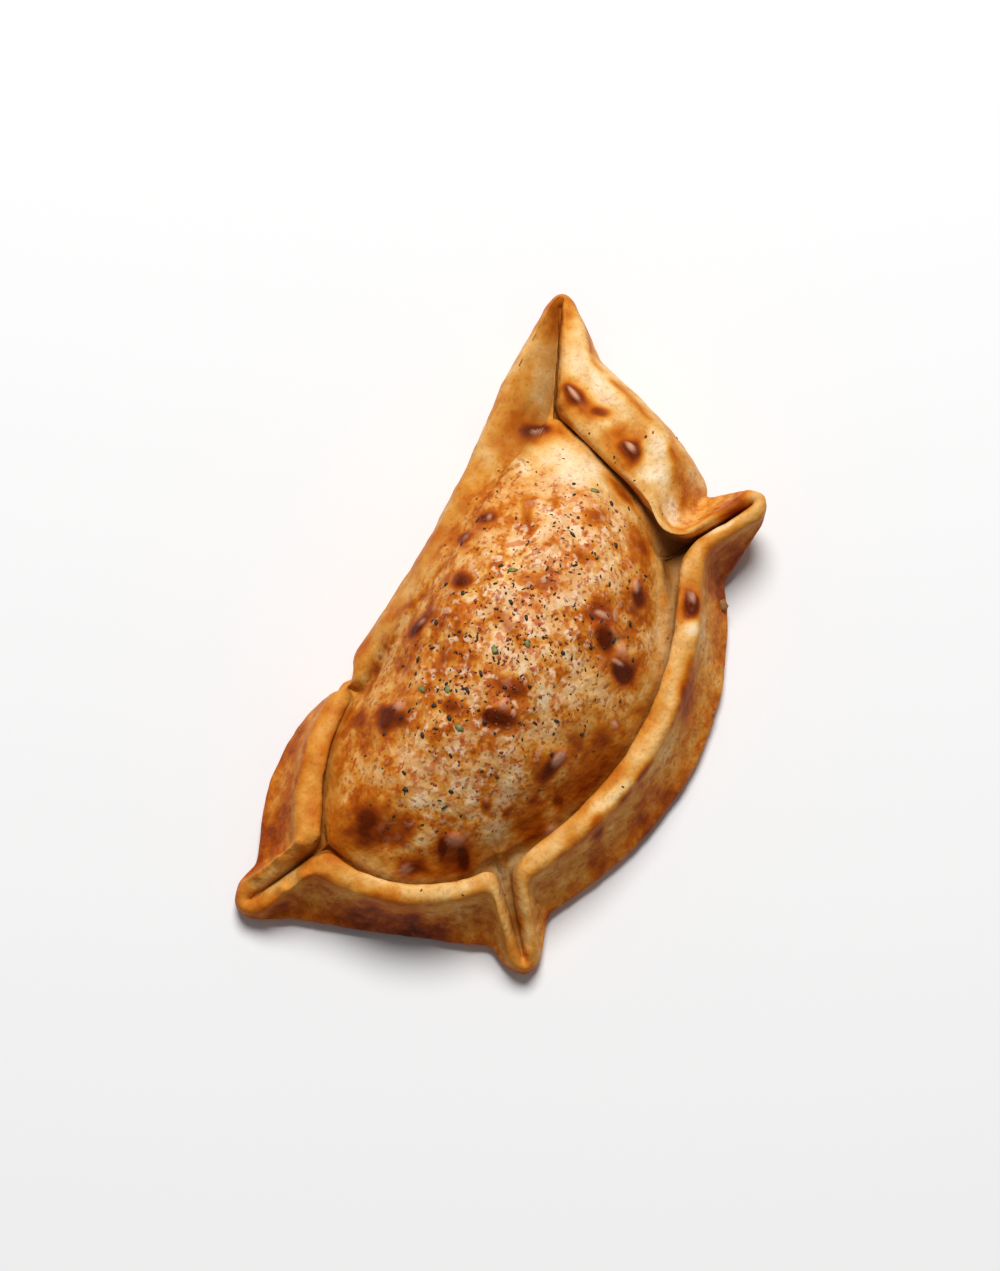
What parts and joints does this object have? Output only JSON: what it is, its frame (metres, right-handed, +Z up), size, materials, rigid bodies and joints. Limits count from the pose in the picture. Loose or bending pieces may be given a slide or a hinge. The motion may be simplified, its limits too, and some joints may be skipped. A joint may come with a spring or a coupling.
{
  "type": "empanada",
  "caption": "Baked half-moon pie of wheat dough with a straight fold, flaps turned up round a filled dome, pinched pointed ears and herb flakes on a blistered golden crust.",
  "frame": {"origin": "middle of the underside's bounding box, on the flat base", "axes": "+X along the long way, towards the sharpest ear; +Y towards the straight fold; +Z up from the base"},
  "size_m": [0.1792, 0.0924, 0.0423],
  "materials": {
    "crust": "satin egg-washed baked dough, golden beige with toasted brown blisters and herb specks"
  },
  "bodies": {
    "root": {"empanada": "crust"}
  },
  "joints": []
}
